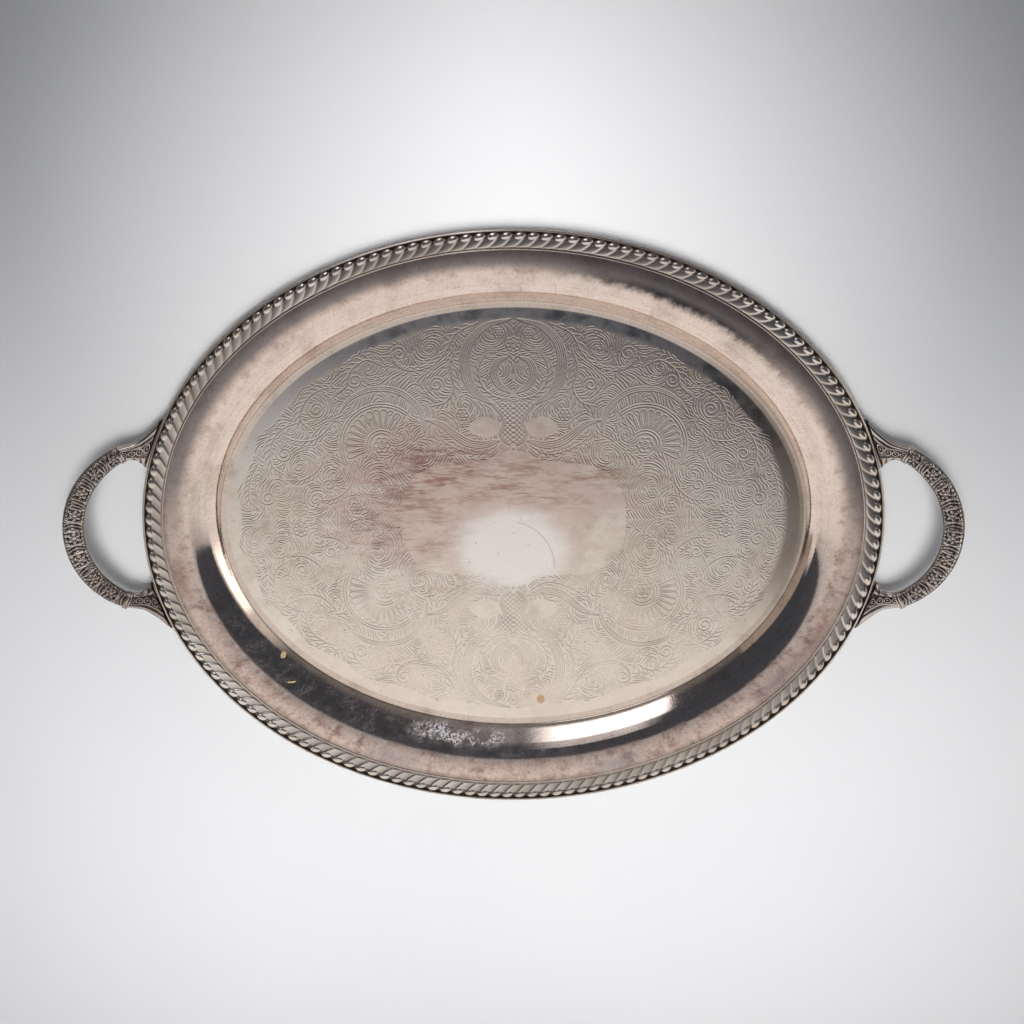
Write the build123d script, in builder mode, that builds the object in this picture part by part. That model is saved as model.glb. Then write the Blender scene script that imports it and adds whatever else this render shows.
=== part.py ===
from build123d import *
import math
import os

os.makedirs("parts", exist_ok=True)

# Oval serving tray with two bar handles, silver-plated sheet metal. Dimensions in mm.
# Origin: centre of the flat underside of the well. +X along the long axis, +Y across, +Z up.

# ---- rim and sheet ----------------------------------------------------------------------
rim_a = 275.0  # half length of the oval, outside the edge wire
rim_b = 220.0  # half width of the oval, outside the edge wire
gauge = 1.2  # thickness of the rolled sheet
seat_width = 15.5  # flat band under the border, measured in from the rim
flange_width = 37.5  # convex part of the flange
fillet_width = 4.5  # concave turn at the foot of the flange
flange_slope = 50.0  # steepest slope of the flange, degrees
ridge_slope = 6.0  # slope left at the ridge round the well, degrees
ridge_step = 0.5  # step down from the ridge to the flat well
well_lap = 12.0  # flat strip formed with the flange, inside the ridge

# ---- border -----------------------------------------------------------------------------
wire_width = 1.5  # edge wire, radial
wire_rise = 1.8  # edge wire above the seat
border_width = 11.9  # struck gadroon strip
border_rise = 2.2  # crest of the gadroons above the seat
border_gauge = 0.5  # thickness of the struck strip
thread_start = 14.1  # thread wire, from the rim
thread_width = 1.1
thread_rise = 0.7
border_lengths = 4  # lengths of struck strip round the tray

# ---- handles ----------------------------------------------------------------------------
handle_x = 261.9  # centre of the bar's arc, seen from above
handle_r = 61.75  # radius of the bar's centre line, seen from above
handle_tilt = 14.0  # rise of the handle away from the tray, degrees
collar_angle = 63.4  # where each collar sits on the arc, degrees from the long axis
collar_lift = 5.5  # middle of the bar above the seat, at the collars
bar_width = 15.8  # at the middle of the bar
bar_end_width = 12.2  # at the collars
bar_half = 4.5  # half thickness of the bar
bar_wall = 1.3  # wall of the hollow shells
bar_sections = 9  # cross-sections that shape one bar
collar_length = 3.0
collar_proud = 1.3
tenon_width = 6.0
tenon_height = 3.6
tenon_length = 7.0
leaf_lap = 11.0  # how far a leaf reaches under the rim
leaf_root = 2.4  # thickness of a leaf under the rim

# ---- derived ----------------------------------------------------------------------------
slope = math.radians(flange_slope)
rest = math.radians(ridge_slope)
flange_r = flange_width / math.sin(slope)
fillet_r = fillet_width / (math.sin(slope) - math.sin(rest))
flange_drop = flange_r * (1 - math.cos(slope))
fillet_drop = fillet_r * (math.cos(rest) - math.cos(slope))
seat_z = gauge + ridge_step + fillet_drop + flange_drop
ridge_x = rim_a - seat_width - flange_width - fillet_width
under_z = seat_z - gauge


def rim_curve(start=0.0, size=360.0):
    """The outer oval of the tray, which every rim profile follows."""
    return EllipticalCenterArc((0, 0), rim_a, rim_b, start_angle=start, arc_size=size)


# ---- the pressed sheet: flat well, ridge, flange and seat --------------------------------
with BuildPart() as well_pan:
    with BuildLine(Plane.XY) as oval:
        rim_curve()
    with BuildSketch(Plane.XZ):
        with BuildLine():
            seat_top = Line((rim_a - wire_width, seat_z), (rim_a - seat_width, seat_z))
            flange_top = JernArc(seat_top @ 1, (-1, 0), flange_r, flange_slope)
            foot_top = JernArc(flange_top @ 1, flange_top % 1, fillet_r, ridge_slope - flange_slope)
            lap_top = Line((ridge_x - 0.4, gauge), (ridge_x - well_lap, gauge))
            Line(foot_top @ 1, lap_top @ 0)
            seat_low = Line((rim_a - wire_width, under_z), (rim_a - seat_width, under_z))
            flange_low = JernArc(seat_low @ 1, (-1, 0), flange_r - gauge, flange_slope)
            foot_low = JernArc(flange_low @ 1, flange_low % 1, fillet_r + gauge, ridge_slope - flange_slope)
            lap_low = Line((ridge_x - 1.2, 0), (ridge_x - well_lap, 0))
            Line(foot_low @ 1, lap_low @ 0)
            Line(lap_top @ 1, lap_low @ 1)
            Line(seat_top @ 0, seat_low @ 0)
        make_face()
    sweep(path=oval.line)
    with BuildSketch(Plane.XY):
        Ellipse(rim_a - 64, rim_b - 64)
    extrude(amount=gauge)
well_pan.part.label = "well_pan"
export_step(well_pan.part, "parts/well_pan.step")

# ---- plain wires: round the edge, and between the gadroons and the flange ---------------
with BuildPart() as edge_wire:
    with BuildLine(Plane.XY) as oval:
        rim_curve()
    with BuildSketch(Plane.XZ):
        with BuildLine():
            inner = Line((rim_a - wire_width, under_z), (rim_a - wire_width, seat_z + wire_rise))
            ThreePointArc(inner @ 0, inner @ 0.5 + Vector(wire_width, 0), inner @ 1)
        make_face()
    sweep(path=oval.line)
edge_wire.part.label = "edge_wire"
export_step(edge_wire.part, "parts/edge_wire.step")

with BuildPart() as inner_thread_wire:
    with BuildLine(Plane.XY) as oval:
        rim_curve()
    with BuildSketch(Plane.XZ):
        with BuildLine():
            foot = Line((rim_a - thread_start, seat_z), (rim_a - thread_start - thread_width, seat_z))
            ThreePointArc(foot @ 0, foot @ 0.5 + Vector(0, thread_rise), foot @ 1)
        make_face()
    sweep(path=oval.line)
inner_thread_wire.part.label = "inner_thread_wire"
export_step(inner_thread_wire.part, "parts/inner_thread_wire.step")

# ---- gadroon border in four lengths, each with its soft filling --------------------------
# The struck lobes are carried here as one crowned strip of the same width and height.
for k in range(border_lengths):
    start = k * 360 / border_lengths
    with BuildLine(Plane.XY) as run:
        rim_curve(start, 360 / border_lengths)
    tangent = run.line % 0
    along = Plane(origin=run.line @ 0, x_dir=Vector(0, 0, 1).cross(tangent), z_dir=tangent)
    out_foot = Vector(wire_width, seat_z)
    in_foot = Vector(wire_width + border_width, seat_z)
    crest = (out_foot + in_foot) / 2 + Vector(0, border_rise)
    wall = Vector(border_gauge, 0)

    with BuildPart() as border_length:
        with BuildSketch(along):
            with BuildLine():
                ThreePointArc(out_foot, crest, in_foot)
                Line(in_foot, in_foot - wall)
                ThreePointArc(in_foot - wall, crest - Vector(0, border_gauge), out_foot + wall)
                Line(out_foot + wall, out_foot)
            make_face()
        sweep(path=run.line)
    border_length.part.label = f"border_length_{k + 1}"
    export_step(border_length.part, f"parts/border_length_{k + 1}.step")

    with BuildPart() as border_filling:
        with BuildSketch(along):
            with BuildLine():
                ThreePointArc(in_foot - wall, crest - Vector(0, border_gauge), out_foot + wall)
                Line(out_foot + wall, in_foot - wall)
            make_face()
        sweep(path=run.line)
    border_filling.part.label = f"border_filling_{k + 1}"
    export_step(border_filling.part, f"parts/border_filling_{k + 1}.step")

# ---- handle bars: a decorated front shell on a plain back shell --------------------------
# Each bar lies in a plane that rises away from the tray, so its plan view stays a circle.
tilt = math.radians(handle_tilt)
collar_x = handle_x + handle_r * math.cos(math.radians(collar_angle))
handle_z = seat_z + collar_lift - (collar_x - handle_x) * math.tan(tilt)
handle_plane = Plane(
    origin=(handle_x, 0, handle_z),
    x_dir=(math.cos(tilt), 0, math.sin(tilt)),
    z_dir=(-math.sin(tilt), 0, math.cos(tilt)),
)


def bar_curve():
    """Centre line of one bar, from the lower collar round to the upper one."""
    return EllipticalCenterArc(
        (0, 0), handle_r / math.cos(tilt), handle_r, start_angle=-collar_angle, arc_size=2 * collar_angle
    )


def across(line, at):
    """Plane square to the bar: local x outward, local y towards the back of the bar."""
    tangent = line % at
    return Plane(origin=line @ at, x_dir=tangent.cross(handle_plane.z_dir), z_dir=tangent)


for name, kept_side in (("grip_front", Keep.TOP), ("grip_back", Keep.BOTTOM)):
    with BuildPart() as grip_right:
        with BuildLine(handle_plane) as bar:
            bar_curve()
        for wall, mode in ((0, Mode.ADD), (bar_wall, Mode.SUBTRACT)):
            for k in range(bar_sections):
                at = k / (bar_sections - 1)
                swell = (bar_width - bar_end_width) * math.sin(math.pi * at)
                with BuildSketch(across(bar.line, at)):
                    Ellipse((bar_end_width + swell) / 2 - wall, bar_half - wall)
            loft(mode=mode)
        split(bisect_by=handle_plane, keep=kept_side)
    grip_right.part.label = f"{name}_right"
    export_step(grip_right.part, f"parts/{name}_right.step")

    with BuildPart() as grip_left:
        mirror(grip_right.part, about=Plane.YZ)
    grip_left.part.label = f"{name}_left"
    export_step(grip_left.part, f"parts/{name}_left.step")

# ---- leaf terminals ----------------------------------------------------------------------
# Side view of a leaf is drawn square to the rim, where the middle of the leaf crosses it.
rim_at = math.radians(17.0)
rim_point = Vector(rim_a * math.cos(rim_at), rim_b * math.sin(rim_at), 0)
rim_normal = Vector(rim_b * math.cos(rim_at), rim_a * math.sin(rim_at), 0).normalized()
leaf_side = Plane(origin=rim_point, x_dir=rim_normal, z_dir=rim_normal.cross(Vector(0, 0, 1)))

with BuildLine(handle_plane) as bar:
    bar_curve()
end_plane = across(bar.line, 1)

with BuildPart() as leaf_right_upper:
    with BuildSketch(Plane.XY):
        with BuildLine():
            collar_line = Line((287.0, 50.4), (292.6, 60.6))
            outer_edge = Spline(
                collar_line @ 1, (284.0, 62.6), (276.5, 65.0), (269.0, 70.3), (262.5, 76.0), (257.3, 81.8)
            )
            inner_edge = Spline(
                collar_line @ 0, (281.0, 50.9), (276.5, 49.9), (273.5, 47.5), (271.0, 44.9), (268.3, 43.2)
            )
            root_line = Line(
                outer_edge @ 1 - rim_normal * leaf_lap, inner_edge @ 1 - rim_normal * leaf_lap
            )
            Line(outer_edge @ 1, root_line @ 0)
            Line(inner_edge @ 1, root_line @ 1)
        make_face()
    extrude(amount=seat_z + 20)
    with BuildSketch(leaf_side):
        with BuildLine():
            lap = Line((-leaf_lap - 12, under_z), (0.6, under_z))
            rise = Line(lap @ 1, (1.6, seat_z + 1.0))
            back = Spline(rise @ 1, (12.0, seat_z + 5.4), (26.0, seat_z + 10.4))
            front = Spline((26.0, seat_z + 1.6), (12.0, seat_z - 1.8), (0.0, under_z - leaf_root - 1))
            end = Line(back @ 1, front @ 0)
            tail = Line(front @ 1, (-leaf_lap - 12, under_z - leaf_root))
            Line(tail @ 1, lap @ 0)
        make_face()
    extrude(amount=45, both=True, mode=Mode.INTERSECT)
    split(bisect_by=end_plane, keep=Keep.TOP)
    with BuildSketch(end_plane):
        Ellipse(bar_end_width / 2 + collar_proud, bar_half + collar_proud)
    extrude(amount=collar_length)
    with BuildSketch(end_plane):
        RectangleRounded(tenon_width, tenon_height, 1.0)
    extrude(amount=-tenon_length)
leaf_right_upper.part.label = "leaf_right_upper"
export_step(leaf_right_upper.part, "parts/leaf_right_upper.step")

with BuildPart() as leaf_right_lower:
    mirror(leaf_right_upper.part, about=Plane.XZ)
leaf_right_lower.part.label = "leaf_right_lower"
export_step(leaf_right_lower.part, "parts/leaf_right_lower.step")

with BuildPart() as leaf_left_upper:
    mirror(leaf_right_upper.part, about=Plane.YZ)
leaf_left_upper.part.label = "leaf_left_upper"
export_step(leaf_left_upper.part, "parts/leaf_left_upper.step")

with BuildPart() as leaf_left_lower:
    mirror(leaf_right_lower.part, about=Plane.YZ)
leaf_left_lower.part.label = "leaf_left_lower"
export_step(leaf_left_lower.part, "parts/leaf_left_lower.step")
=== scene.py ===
import math
from types import SimpleNamespace

import bpy
import numpy as np
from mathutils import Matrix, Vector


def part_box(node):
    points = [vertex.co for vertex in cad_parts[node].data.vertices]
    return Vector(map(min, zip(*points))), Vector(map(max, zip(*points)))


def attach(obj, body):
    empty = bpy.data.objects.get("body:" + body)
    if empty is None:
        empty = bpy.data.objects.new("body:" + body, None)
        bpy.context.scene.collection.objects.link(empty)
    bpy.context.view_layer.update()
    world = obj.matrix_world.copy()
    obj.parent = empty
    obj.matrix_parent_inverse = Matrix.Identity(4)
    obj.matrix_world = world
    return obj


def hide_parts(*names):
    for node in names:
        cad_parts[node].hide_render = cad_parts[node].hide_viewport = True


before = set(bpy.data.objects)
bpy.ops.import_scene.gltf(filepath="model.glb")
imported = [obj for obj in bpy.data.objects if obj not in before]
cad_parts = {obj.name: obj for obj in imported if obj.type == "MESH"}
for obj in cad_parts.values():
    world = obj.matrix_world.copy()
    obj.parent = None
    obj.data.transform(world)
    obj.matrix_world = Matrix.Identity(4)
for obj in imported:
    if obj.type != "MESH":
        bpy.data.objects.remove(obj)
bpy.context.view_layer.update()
rng = np.random.default_rng(7)

# ---- sizes read from the frame, in metres ----
MM = 0.001
rim_low, rim_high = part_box("edge_wire")
RIM_A, RIM_B = rim_high[0], rim_high[1]
border_low, border_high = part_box("border_length_1")
SEAT = border_low[2]
BORDER_RISE = border_high[2] - SEAT
EDGE_WIRE = RIM_A - border_high[0]
WIRE_LOW, WIRE_HIGH = rim_low[2], rim_high[2]
GAUGE = SEAT - WIRE_LOW
thread_low, thread_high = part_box("inner_thread_wire")
THREAD_START = RIM_A - thread_high[0]
THREAD_RISE = thread_high[2] - thread_low[2]
bar_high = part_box("grip_front_right")[1]

# ---- sizes that the boxes don't give ----
THREAD_WIDTH = 1.1 * MM
BORDER_WIDTH = 11.9 * MM
SEAT_WIDTH = 15.5 * MM
FLANGE_WIDTH = 37.5 * MM
FOOT_WIDTH = 4.5 * MM
RIDGE = SEAT_WIDTH + FLANGE_WIDTH + FOOT_WIDTH
SLOPE, REST = math.radians(50), math.radians(6)  # steepest slope of the flange, and slope at its foot
RING_COLUMNS = 960  # points round the tray on the sheet and the wires
BORDER_LENGTHS = 4
LOBES = 160
BAR_WIDTH, BAR_END_WIDTH, BAR_HALF = 15.8 * MM, 12.2 * MM, 4.5 * MM
HANDLE_R = 61.75 * MM
HANDLE_TILT = math.radians(14)
COLLAR_ANGLE = math.radians(63.4)
COLLAR_LIFT = 5.5 * MM
HANDLE_X = bar_high[0] - HANDLE_R - BAR_WIDTH / 2 + 0.2 * MM
HANDLE_Z = SEAT + COLLAR_LIFT - HANDLE_R * math.cos(COLLAR_ANGLE) * math.tan(HANDLE_TILT)
OUTWARD = np.array([math.cos(HANDLE_TILT), 0, math.sin(HANDLE_TILT)])
FACING = np.array([-math.sin(HANDLE_TILT), 0, math.cos(HANDLE_TILT)])


# ---- geometry helpers ----
def smooth(x):
    """Smooth step from 0 to 1."""
    x = np.clip(x, 0.0, 1.0)
    return x * x * (3 - 2 * x)


def dome(x):
    """Round bump: 1 at 0, falling to 0 where x squared reaches 1."""
    return np.sqrt(np.clip(1 - x**2, 0, 1))


def oval_angles(count):
    """Angles that part the outer oval into equal lengths, starting on the long axis."""
    fine = np.linspace(0, 2 * np.pi, 20001)
    step = np.hypot(np.diff(RIM_A * np.cos(fine)), np.diff(RIM_B * np.sin(fine)))
    run = np.concatenate([[0], np.cumsum(step)])
    return np.interp(np.linspace(0, run[-1], count, endpoint=False), run, fine)


def oval_point(angle, inset):
    """Points a given distance inside the outer oval, measured square to it."""
    nx, ny = RIM_B * np.cos(angle), RIM_A * np.sin(angle)
    size = np.hypot(nx, ny)
    return RIM_A * np.cos(angle) - inset * nx / size, RIM_B * np.sin(angle) - inset * ny / size


def oval_row(angle, inset, height):
    """Row of points along the oval; height is one value, or one for each point."""
    x, y = oval_point(angle, inset)
    return np.stack([x, y, np.broadcast_to(height, angle.shape)], -1)


def grid_quads(rows, columns, wrap=False, start=0):
    """Quads of a grid of points stored row by row; wrap joins the last column to the first."""
    last = columns if wrap else columns - 1
    r, c = np.meshgrid(np.arange(rows - 1), np.arange(last), indexing="ij")
    n = (c + 1) % columns
    near, far = r * columns, (r + 1) * columns
    return np.stack([near + c, near + n, far + n, far + c], -1).reshape(-1, 4) + start


def make_mesh(name, points, quads, wear=None):
    """Smooth mesh object from points and quads, with an optional wear value at each point."""
    mesh = bpy.data.meshes.new(name)
    points = np.asarray(points, dtype=np.float32).reshape(-1, 3)
    quads = np.asarray(quads, dtype=np.int32)
    mesh.vertices.add(len(points))
    mesh.vertices.foreach_set("co", points.ravel())
    mesh.loops.add(quads.size)
    mesh.loops.foreach_set("vertex_index", quads.ravel())
    mesh.polygons.add(len(quads))
    mesh.polygons.foreach_set("loop_start", np.arange(0, quads.size, 4, dtype=np.int32))
    mesh.polygons.foreach_set("use_smooth", np.ones(len(quads), dtype=bool))
    mesh.update(calc_edges=True)
    if wear is not None:
        add_values(mesh, "wear", wear)
    obj = bpy.data.objects.new(name, mesh)
    bpy.context.scene.collection.objects.link(obj)
    return obj


def add_values(mesh, name, values):
    """Store a number at each point, for the material to read."""
    layer = mesh.attributes.new(name, "FLOAT", "POINT")
    layer.data.foreach_set("value", np.asarray(values, dtype=np.float32).ravel())


# ---- engraving of the well ----
# Drawn for one quarter of the well in millimetres, on a fine raster, and mirrored in both axes.
CELL = 0.2
CLEAR = 1.3  # least distance between the lines of the ground pattern
FIELD_X, FIELD_Y = 209, 152  # half length and half width of the engraved field
WELL_X, WELL_Y = (RIM_A - RIDGE) / MM, (RIM_B - RIDGE) / MM
groove = np.zeros((int(WELL_Y / CELL) + 20, int(WELL_X / CELL) + 20))
taken = np.zeros(groove.shape, bool)


def cells_near(px, py, reach):
    """Raster cells within reach of each point, with their distance from it."""
    column, row = np.round(px / CELL).astype(int), np.round(py / CELL).astype(int)
    n = int(reach / CELL) + 1
    for dr in range(-n, n + 1):
        for dc in range(-n, n + 1):
            r, c = row + dr, column + dc
            ok = (r >= 0) & (c >= 0) & (r < groove.shape[0]) & (c < groove.shape[1])
            yield r[ok], c[ok], ok, np.hypot(c[ok] * CELL - px[ok], r[ok] * CELL - py[ok])


def cut(x, y, width=0.34):
    """Engrave a line through the given points; width is its half width and may vary along it."""
    x, y = np.asarray(x, float), np.asarray(y, float)
    length = np.concatenate([[0], np.cumsum(np.hypot(np.diff(x), np.diff(y)))])
    if length[-1] < 0.3:
        return
    at = np.arange(0, length[-1], CELL)
    px, py = np.interp(at, length, x), np.interp(at, length, y)
    w = np.interp(at, length, np.broadcast_to(width, x.shape))
    keep = (px > -1) & (py > -1)
    px, py, w = px[keep], py[keep], w[keep]
    for r, c, ok, away in cells_near(px, py, 0.6):
        np.maximum.at(groove, (r, c), np.clip(1.25 - away / w[ok], 0, 1))
    for r, c, ok, away in cells_near(px[::3], py[::3], CLEAR):
        taken[r[away < CLEAR], c[away < CLEAR]] = True


def taper(count, width=0.4):
    """Half width of a line that starts and ends fine."""
    t = np.linspace(0, 1, count)
    return width * (0.5 + 0.5 * np.sin(np.pi * t) ** 0.6)


def cut_round(cx, cy, radius, angle, width=0.34):
    """Engrave a line given by its distance and angle from a centre."""
    cut(cx + radius * np.cos(angle), cy + radius * np.sin(angle), width)


def arc(cx, cy, radius, start, stop, width=0.4):
    """Engraved circular arc, angles in degrees."""
    count = max(10, int(abs(stop - start) * radius / 40))
    cut_round(cx, cy, radius, np.radians(np.linspace(start, stop, count)), width)


def volute(cx, cy, radius, start, turns):
    """Spiral scroll that winds from the outside to its eye; negative turns wind the other way."""
    t = np.linspace(0, 1, int(60 * abs(turns)) + 8)
    angle = np.radians(start) + 2 * np.pi * turns * t
    cut_round(cx, cy, radius - (radius - 1.2) * t**0.85, angle, taper(len(t), 0.42))


def spine(points, count=40):
    """Smooth curve through a few points, returned as x, y and the unit normal on its left."""
    points = np.asarray(points, float)
    ends = np.vstack([2 * points[0] - points[1], points, 2 * points[-1] - points[-2]])
    t = np.linspace(0, 1, count)[:-1, None]
    curve = []
    for a, b, c, d in zip(ends[:-3], ends[1:-2], ends[2:-1], ends[3:]):
        square, cube = 2 * a - 5 * b + 4 * c - d, 3 * b - a - 3 * c + d
        curve.append(0.5 * (2 * b + (c - a) * t + square * t**2 + cube * t**3))
    x, y = np.vstack([*curve, points[-1]]).T
    dx, dy = np.gradient(x), np.gradient(y)
    size = np.hypot(dx, dy) + 1e-9
    return x, y, -dy / size, dx / size


def bundle(points, lines, pitch=1.6, side=1):
    """Parallel engraved lines that swell apart in the middle of a curve and close at its ends."""
    x, y, nx, ny = spine(points)
    swell = np.sin(np.pi * np.linspace(0, 1, len(x)) ** 0.8) ** 0.6
    for k in range(lines):
        off = side * pitch * k * swell
        cut(x + nx * off, y + ny * off, taper(len(x), 0.36 if k in (0, lines - 1) else 0.28))


def plume(points, barbs, reach, side=1, hook=1.0):
    """Acanthus plume: a stem with a comb of hooked barbs that leave it on one side."""
    x, y, nx, ny = spine(points)
    cut(x, y, taper(len(x), 0.4))
    for k in range(barbs):
        i = int((0.04 + 0.9 * k / barbs) * (len(x) - 1))
        heading = math.atan2(-nx[i], ny[i])
        size = reach * math.sin(math.pi * (0.18 + 0.72 * k / barbs))
        s = np.linspace(0, 1, 26)
        bend = 1.15 * np.sin(np.pi * np.minimum(s * 1.4, 1) / 2) - hook * 1.9 * s**2.2
        turn, step = heading + side * bend, size / 26
        cut(x[i] + np.cumsum(np.cos(turn)) * step, y[i] + np.cumsum(np.sin(turn)) * step, taper(26, 0.32))


def rosette(cx, cy, radius, petals=6):
    """Flower: an eye, a ring and a ring of rounded petals, parted by short lines."""
    arc(cx, cy, radius * 0.22, 0, 360, 0.36)
    arc(cx, cy, radius * 0.45, 0, 360, 0.36)
    angle = np.linspace(0, 2 * np.pi, 90)
    cut_round(cx, cy, radius * (0.78 + 0.22 * np.abs(np.cos(petals * angle / 2))), angle, 0.4)
    for between in 2 * np.pi * (np.arange(petals) + 0.5) / petals:
        cut_round(cx, cy, radius * np.array([0.45, 0.8]), between)


def shell(cx, cy, inner, outer, start, stop, flutes):
    """Fluted fan: long rounded flutes between an inner band and a scalloped edge."""
    step = (stop - start) / flutes
    half = np.radians(step * 0.42)
    for a in np.radians(start + step * (np.arange(flutes) + 0.5)):
        for s in (-1, 1):
            spread = a + s * half * np.linspace(0.6, 1.0, 14)
            cut_round(cx, cy, np.linspace(inner, outer * 0.92, 14), spread, taper(14, 0.42))
        tip = np.linspace(-1, 1, 14)
        cut_round(cx, cy, outer * (0.92 + 0.08 * np.sqrt(1 - tip**2)), a + half * tip)
    for r in (inner - 1.8, inner - 4.0, outer + 2.2, outer + 4.2):
        arc(cx, cy, r, start - 4, stop + 4)


def shield_limit(y):
    """Half width of the latticed shield on the short axis, narrow at its waist."""
    return np.interp(y, [57, 60, 66, 71, 75, 80, 85, 89], [1.5, 5.5, 8.5, 6.5, 5.0, 7.5, 11.5, 14.0])


def lattice(low, high, pitch=2.6):
    """Crossed hatching inside the shield."""
    y = np.arange(low, high, 0.3)
    for slant in (-1, 1):
        for c in np.arange(-60, 80, pitch * 1.414):
            x = slant * (y - low) + c
            inside = (x > -0.5) & (x < shield_limit(y))
            cuts = np.nonzero(np.diff(inside.astype(int)))[0] + 1
            for part in np.split(np.arange(len(y)), cuts):
                if inside[part[0]] and len(part) > 4:
                    cut(x[part], y[part], 0.32)


def bare(x, y):
    """True where the well stays plain: its centre, the patches by the waist and the outer margin."""
    centre = np.hypot(x / 90, y / 50) * (1 + 0.06 * np.cos(6 * np.arctan2(y, x))) < 1
    patch = np.hypot((x - 21) / 12, (y - 71) / 7.5) < 1
    turn = np.arctan2(y / FIELD_Y, x / FIELD_X)
    margin = np.hypot(x / FIELD_X, y / FIELD_Y) > 1 - 0.022 * np.abs(np.cos(11 * turn))
    return centre | patch | margin


# Scrolls the ground pattern swirls round: centre, reach and turning sense
SWIRLS = [
    (47, 108, 15, 1), (62, 129, 15, -1), (86, 124, 11, 1), (107, 115, 17, 1), (122, 96, 11, -1),
    (150, 88, 17, -1), (137, 66, 10, 1), (166, 68, 12, 1), (180, 50, 14, 1), (160, 40, 11, -1),
    (197, 12, 12, -1), (176, 22, 12, 1), (148, 14, 13, -1), (134, 34, 10, 1), (118, 12, 11, 1),
    (104, 26, 9, -1), (70, 48, 12, 1), (70, 82, 13, -1), (52, 72, 10, 1), (36, 88, 13, -1),
    (28, 60, 10, 1), (25, 100, 11, 1), (14, 142, 12, -1), (34, 146, 11, 1), (12, 112, 12, 1),
    (98, 88, 11, 1), (190, 36, 11, -1), (84, 64, 10, -1), (120, 128, 11, -1), (140, 108, 11, 1),
]


def ground_field():
    """Direction of the ground pattern on a 1 mm grid: swirls that wind into each other."""
    y, x = np.mgrid[0 : int(WELL_Y) + 4, 0 : int(WELL_X) + 4].astype(float)
    u, v = np.zeros_like(x), np.zeros_like(x)
    for cx, cy, reach, sense in SWIRLS:
        dx, dy = x - cx, y - cy
        far = np.hypot(dx, dy) + 0.1
        pull = np.exp(-((far / reach) ** 2)) / far
        u += pull * (-sense * dy - 0.28 * dx)
        v += pull * (sense * dx - 0.28 * dy)
    size = np.hypot(u, v) + 1e-12
    return u / size, v / size


def draw_ground():
    """Evenly spaced flowing lines over everything that is still bare but shouldn't be."""
    u, v = ground_field()
    rows, columns = np.indices(groove.shape)
    plain = bare(columns * CELL, rows * CELL)

    def free(x, y):
        r, c = int(round(y / CELL)), int(round(x / CELL))
        inside = 0 <= r < taken.shape[0] and 0 <= c < taken.shape[1]
        return inside and not taken[r, c] and not plain[r, c]

    def follow(x, y, way, longest):
        run = []
        while len(run) < longest and free(x, y):
            run.append((x, y))
            i, j = min(int(y + 0.5), u.shape[0] - 1), min(int(x + 0.5), u.shape[1] - 1)
            x, y = x + way * u[i, j] * 0.5, y + way * v[i, j] * 0.5
            if len(run) > 12 and math.hypot(x - run[-12][0], y - run[-12][1]) < 1.6:
                break
        return run

    for seed_y in np.arange(0.8, WELL_Y, 1.3):
        for seed_x in np.arange(0.8, WELL_X, 1.3):
            x, y = seed_x + rng.uniform(-0.5, 0.5), seed_y + rng.uniform(-0.5, 0.5)
            if not free(x, y):
                continue
            longest = rng.uniform(8, 34)
            onward, back = follow(x, y, 1, longest), follow(x, y, -1, longest)
            line = np.array(back[::-1] + onward[1:])
            if len(line) > 5:
                cut(line[:, 0], line[:, 1], taper(len(line), 0.36))


def draw_medallion():
    """Latticed shield on the short axis, and the framed medallion beyond it."""
    lattice(58, 89)
    edge_y = np.linspace(57, 89, 60)
    for grow in (0.7, 2.2):
        cut(shield_limit(edge_y) + grow, edge_y, 0.36)
    bundle([(17, 88), (29, 94), (37, 106), (39, 122), (34, 137), (21, 148), (2, 152)], 5, 1.6, 1)
    rosette(0, 133, 5.5, 8)
    rosette(11, 141, 3.6, 6)
    bundle([(3, 96), (12, 101), (17, 111), (13, 121), (4, 124)], 4, 1.5, 1)
    plume([(4, 92), (14, 94), (23, 102), (26, 114), (21, 126)], 9, 8.0, -1)


def draw_upper_plumes():
    """Plumes and scrolls that run from the medallion outwards."""
    plume([(26, 149), (42, 141), (50, 127), (60, 117), (75, 113), (87, 118), (90, 129)], 15, 15.0, 1)
    plume([(43, 130), (47, 116), (44, 101), (50, 90), (62, 86)], 11, 9.0, -1, 0.8)
    volute(84, 126, 6.5, 330, 1.6)
    volute(57, 103, 6.0, 200, -1.7)
    plume([(95, 116), (108, 121), (120, 113), (124, 101), (134, 93)], 12, 11.0, 1)
    volute(117, 106, 6.5, 60, -1.8)


def draw_fan():
    """Bracket over the plain centre, and the fan in its frame."""
    bundle([(10, 60), (22, 55), (34, 56), (44, 62), (54, 71), (66, 76)], 4, 1.7, 1)
    plume([(12, 57), (26, 50), (42, 54), (55, 62)], 8, 6.0, -1)
    rosette(38, 80, 4.5, 6)
    shell(98, 57, 13.0, 27.0, -25, 125, 12)
    rosette(98, 57, 6.0, 6)
    bundle([(66, 66), (70, 82), (84, 95), (102, 98), (119, 92), (130, 80)], 3, 1.6, 1)


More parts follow.
